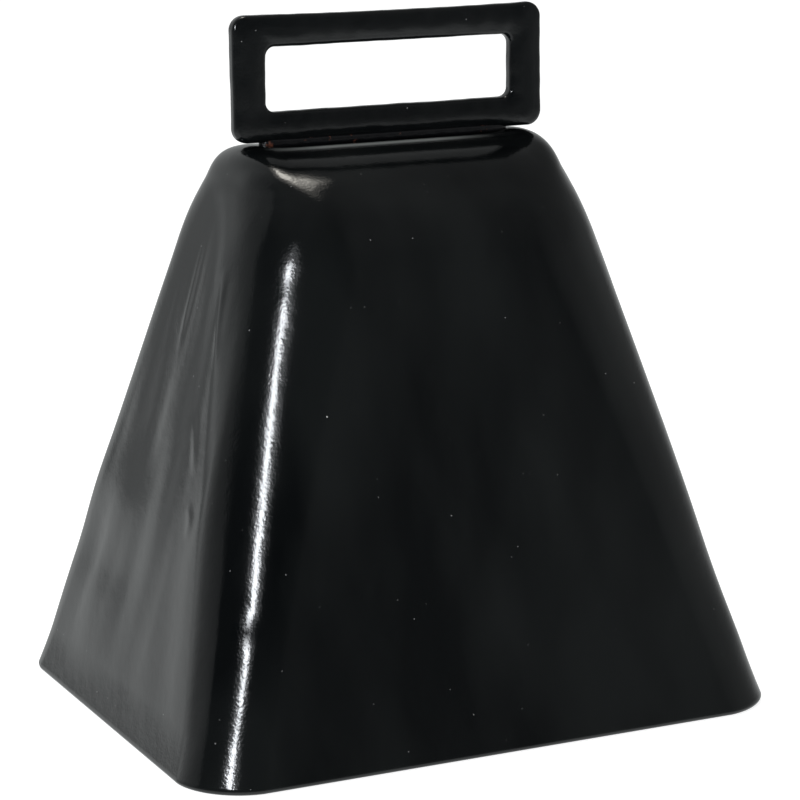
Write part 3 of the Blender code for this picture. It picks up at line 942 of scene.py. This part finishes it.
def make_floor():
    """A plain pale floor. The bell's gloss mirrors the room instead of it, and from below it is clear."""
    half = FLOOR_HALF
    corners = [(-half, -half, 0), (half, -half, 0), (half, half, 0), (-half, half, 0)]
    floor = mesh_object("floor", corners, [(0, 1, 2, 3)])
    floor.location.z = -FLOOR_DROP
    floor.visible_glossy = False
    nodes = MaterialNodes("pale_floor")
    nodes.shader.inputs["Base Color"].default_value = (0.86, 0.86, 0.86, 1)
    nodes.shader.inputs["Roughness"].default_value = 0.9
    nodes.shader.inputs["Emission Color"].default_value = (1, 1, 1, 1)
    nodes.shader.inputs["Emission Strength"].default_value = FLOOR_GLOW
    clear = nodes.add("ShaderNodeBsdfTransparent")
    either = nodes.add("ShaderNodeMixShader")
    side = nodes.add("ShaderNodeNewGeometry")
    nodes.link(side.outputs["Backfacing"], either.inputs["Fac"])
    nodes.link(nodes.shader.outputs["BSDF"], either.inputs[1])
    nodes.link(clear.outputs["BSDF"], either.inputs[2])
    nodes.link(either.outputs["Shader"], nodes.tree.nodes["Material Output"].inputs["Surface"])
    floor.data.materials.append(nodes.material)


BACKDROP = 1.0  # what the camera sees beyond the floor
ROOM_TINT = (0.97, 1.0, 1.0)

# The room's brightness as bands of (elevation, stops), from the lowest up. The stops are (azimuth, level)
# pairs. Azimuth 0 is in front of the bell.
ROOM = [
    (-30, [(-180, 0.80), (180, 0.80)]),
    (
        -9,
        [
            (-180, 0.50), (-166, 0.75), (-148, 0.82), (-136, 0.50), (-60, 0.15), (30, 0.18),
            (84, 0.42), (125, 0.52), (180, 0.50),
        ],
    ),
    (
        -4.5,
        [
            (-180, 0.45), (-166, 0.70), (-154, 0.76), (-141, 0.76), (-130, 0.50), (-100, 0.20),
            (-60, 0.10), (26, 0.15), (60, 0.33), (90, 0.38), (125, 0.45), (180, 0.45),
        ],
    ),
    (
        -1,
        [
            (-180, 0.36), (-165, 0.35), (-152, 0.38), (-141, 0.90), (-132, 0.66), (-121, 0.42),
            (-100, 0.22), (-92, 0.08), (-4, 0.07), (26, 0.13), (60, 0.30), (90, 0.31), (114, 0.30),
            (132, 0.38), (148, 0.50), (180, 0.36),
        ],
    ),
    (
        4,
        [
            (-180, 0.36), (-160, 0.37), (-149, 0.60), (-141, 1.08), (-132, 0.72), (-121, 0.42),
            (-100, 0.27), (-92, 0.05), (-4, 0.04), (14, 0.06), (26, 0.11), (40, 0.20), (60, 0.25),
            (90, 0.23), (114, 0.15), (132, 0.30), (148, 0.50), (165, 0.42), (180, 0.37),
        ],
    ),
    (
        20,
        [
            (-180, 0.58), (-150, 0.60), (-137, 0.76), (-129, 0.95), (-120, 0.72), (-112, 0.44),
            (-104, 0.31), (-97, 0.28), (-94, 0.05), (-10, 0.035), (16, 0.06), (25, 0.10),
            (40, 0.17), (60, 0.20), (112, 0.155), (134, 0.20), (150, 0.35), (168, 0.52),
            (180, 0.58),
        ],
    ),
    (
        38,
        [
            (-180, 0.62), (-150, 0.58), (-124, 0.60), (-116, 0.45), (-106, 0.30), (-97, 0.26),
            (-92, 0.06), (-60, 0.06), (10, 0.06), (20, 0.12), (60, 0.19), (100, 0.15), (130, 0.12),
            (150, 0.15), (170, 0.35), (180, 0.62),
        ],
    ),
    (
        60,
        [
            (-180, 0.45), (-120, 0.40), (-90, 0.16), (0, 0.10), (60, 0.18), (110, 0.14),
            (150, 0.14), (180, 0.45),
        ],
    ),
    (85, [(-180, 0.18), (180, 0.18)]),
]


def make_room():
    """Soft light from all round, by direction: pale behind the bell and to its left, dark in front."""
    world = bpy.data.worlds.new("studio")
    bpy.context.scene.world = world
    world.use_nodes = True
    nodes = Nodes(world.node_tree)
    split = nodes.add("ShaderNodeSeparateXYZ")
    nodes.link(nodes.add("ShaderNodeTexCoord").outputs["Generated"], split.inputs["Vector"])
    to_front = nodes.maths("MULTIPLY", split.outputs["Y"], -1.0)
    azimuth = nodes.maths("ARCTAN2", split.outputs["X"], to_front)
    round_share = nodes.maths("MULTIPLY_ADD", azimuth, 0.5 / math.pi, 0.5)
    elevation = nodes.maths("ARCSINE", split.outputs["Z"])
    shade, shade_elevation = None, None
    for band_elevation, stops in ROOM:
        places = [stop_azimuth / 360 + 0.5 for stop_azimuth, _ in stops]
        colours = [tuple(level * tint for tint in ROOM_TINT) for _, level in stops]
        band = nodes.ramp(round_share, list(zip(places, colours)))
        if shade is None:
            shade = band
        else:
            rise = nodes.add("ShaderNodeMapRange")
            rise.inputs["From Min"].default_value = math.radians(shade_elevation)
            rise.inputs["From Max"].default_value = math.radians(band_elevation)
            nodes.link(elevation, rise.inputs["Value"])
            shade = nodes.mix(rise.outputs["Result"], shade, band)
        shade_elevation = band_elevation
    seen = nodes.add("ShaderNodeLightPath").outputs["Is Camera Ray"]
    backdrop = nodes.mix(seen, shade, (BACKDROP, BACKDROP, BACKDROP))
    nodes.link(backdrop, nodes.tree.nodes["Background"].inputs["Color"])


def make_panel(name, foot, head, width, away, radiance, aim, tint):
    """A soft box from one direction to another. Its radiance is what a mirror would show of it.

    Foot and head are (azimuth, elevation) pairs seen from the aimed place, and width is an angle.
    """
    foot, head = direction(*foot) * away, direction(*head) * away
    centre, length = (foot + head) / 2, (head - foot).length
    along = (head - foot).normalized()
    back = centre.normalized()
    across = along.cross(back).normalized()
    data = bpy.data.lights.new(name, "AREA")
    data.shape = "RECTANGLE"
    data.size = 2 * away * math.tan(math.radians(width / 2))
    data.size_y = length
    data.energy = radiance * math.pi * data.size * length
    data.color = tint
    panel = bpy.data.objects.new(name, data)
    axes = Matrix((across, back.cross(across), back)).transposed().to_4x4()
    panel.matrix_world = Matrix.Translation(Vector(aim) + centre) @ axes
    bpy.context.scene.collection.objects.link(panel)


def make_lights():
    """A long narrow soft box for the near edge's highlight, and one overhead. Both have dimmer spill."""
    near_edge = (-0.035, -0.030, 0.045)
    near_corner = (-0.020, -0.014, 0.088)
    cool, warm = (0.93, 0.96, 1.0), (1.0, 0.96, 0.88)
    make_panel("key_softbox", (-41, 16), (-57, 33), 5.5, 0.75, 34, near_edge, cool)
    make_panel("key_spill", (-38, 14), (-60, 36), 17, 0.80, 1.3, near_edge, cool)
    make_panel("overhead_softbox", (140, 80), (183, 77), 12, 0.80, 7, near_corner, warm)
    make_panel("overhead_glow", (112, 80), (190, 75), 19, 0.81, 2.6, near_corner, warm)
    make_panel("overhead_spill", (95, 78), (205, 71), 31, 0.82, 0.8, near_corner, warm)


CAMERA_AZIMUTH = -25.08
CAMERA_ELEVATION = 12.2
CAMERA_ROLL = -0.71
CAMERA_AWAY = 0.4867
CAMERA_AIM = Vector((0, 0, 0.04626))
CAMERA_SLIDE = (-0.001951, -0.002468)  # how far right and up in the view the aimed place sits
CAMERA_LENS = 131.1
SENSOR = 36.0


def make_camera():
    data = bpy.data.cameras.new("camera")
    data.sensor_width = SENSOR
    data.lens = CAMERA_LENS
    data.clip_start = 0.01
    camera = bpy.data.objects.new("camera", data)
    bpy.context.scene.collection.objects.link(camera)
    back = direction(CAMERA_AZIMUTH, CAMERA_ELEVATION)
    right = Vector((0, 0, 1)).cross(back).normalized()
    up = back.cross(right)
    roll = math.radians(CAMERA_ROLL)
    rolled_right = right * math.cos(roll) + up * math.sin(roll)
    rolled_up = up * math.cos(roll) - right * math.sin(roll)
    place = CAMERA_AIM + back * CAMERA_AWAY
    place -= rolled_right * CAMERA_SLIDE[0] + rolled_up * CAMERA_SLIDE[1]
    axes = Matrix((rolled_right, rolled_up, back)).transposed().to_4x4()
    camera.matrix_world = Matrix.Translation(place) @ axes
    bpy.context.scene.camera = camera


# --- Assembly --------------------------------------------------------------------------------------


def finish_piece(obj, node, body, material):
    """Gives a piece its material, parents it to its body, and hides the CAD node that it stands for."""
    obj.data.materials.append(material)
    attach(obj, body)
    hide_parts(node)


def main():
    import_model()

    shell_coat = gloss_coat(
        "gloss_black_coat",
        base=(0.0014, 0.0020, 0.0024),
        clouded=(0.0068, 0.0080, 0.0082),
        roughness=(0.085, 0.13),
        grain=1.0,
        on_shell=True,
    )
    loop_coat = gloss_coat(
        "gloss_black_loop_coat",
        base=(0.0022, 0.0030, 0.0035),
        clouded=(0.0042, 0.0050, 0.0054),
        roughness=(0.10, 0.15),
        grain=1.3,
    )
    wire = worn_wire()
    bronze = fillet_braze()

    finish_piece(make_bell_shell(BellShape()), "bell_shell", "root", shell_coat)
    finish_piece(make_strap_loop(), "strap_loop", "root", loop_coat)
    finish_piece(make_braze_seam(), "braze_seam", "root", braze_metal())
    finish_piece(make_staple(), "clapper_staple", "root", wire)
    for side, seed in (("left", 23), ("right", 29)):
        node = f"leg_fillet_{side}"
        finish_piece(make_leg_fillet(node, f"{node}_braze", seed), node, "root", bronze)
    finish_piece(make_link(), "clapper_link", "link", wire)
    finish_piece(make_rod(), "clapper_rod", "clapper", wire)
    finish_piece(make_ball(), "clapper_ball", "clapper", ball_steel())

    make_floor()
    make_room()
    make_lights()
    make_camera()
    bpy.context.scene.view_settings.view_transform = "Standard"


main()
